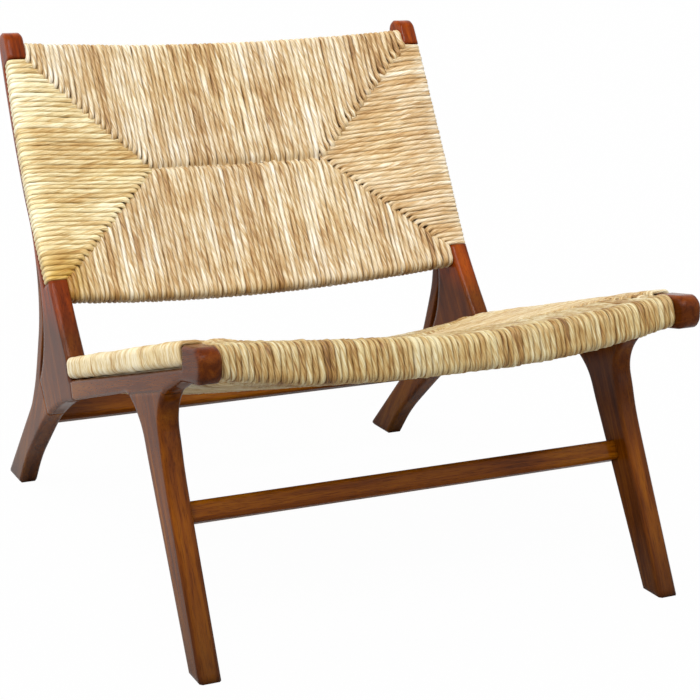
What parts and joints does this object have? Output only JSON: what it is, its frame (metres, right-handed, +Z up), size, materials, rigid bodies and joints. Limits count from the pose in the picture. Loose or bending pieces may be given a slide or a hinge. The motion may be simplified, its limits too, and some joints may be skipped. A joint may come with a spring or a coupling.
{
  "type": "woven lounge chair",
  "caption": "Low armless lounge chair with sawn slotted side frames, a raked back and a hand-woven rush seat and back.",
  "frame": {"origin": "on the floor, in the middle of the bounding box", "axes": "+Z up, +Y towards the back of the chair, +X to the sitter's left"},
  "size_m": [0.666, 0.8935, 0.69],
  "materials": {
    "wood": "satin",
    "rush": "matte"
  },
  "bodies": {
    "root": {"back_post_left": "wood", "back_post_right": "wood", "rear_leg_left": "wood", "rear_leg_right": "wood", "side_rail_left": "wood", "side_rail_right": "wood", "front_leg_left": "wood", "front_leg_right": "wood", "seat_front_rail": "wood", "seat_rear_rail": "wood", "back_top_rail": "wood", "back_bottom_rail": "wood", "front_stretcher": "wood", "rear_stretcher": "wood", "front_leg_dowels": "wood", "post_dowels": "wood", "tail_dowels": "wood", "seat_weave": "rush", "back_weave": "rush"}
  },
  "joints": []
}
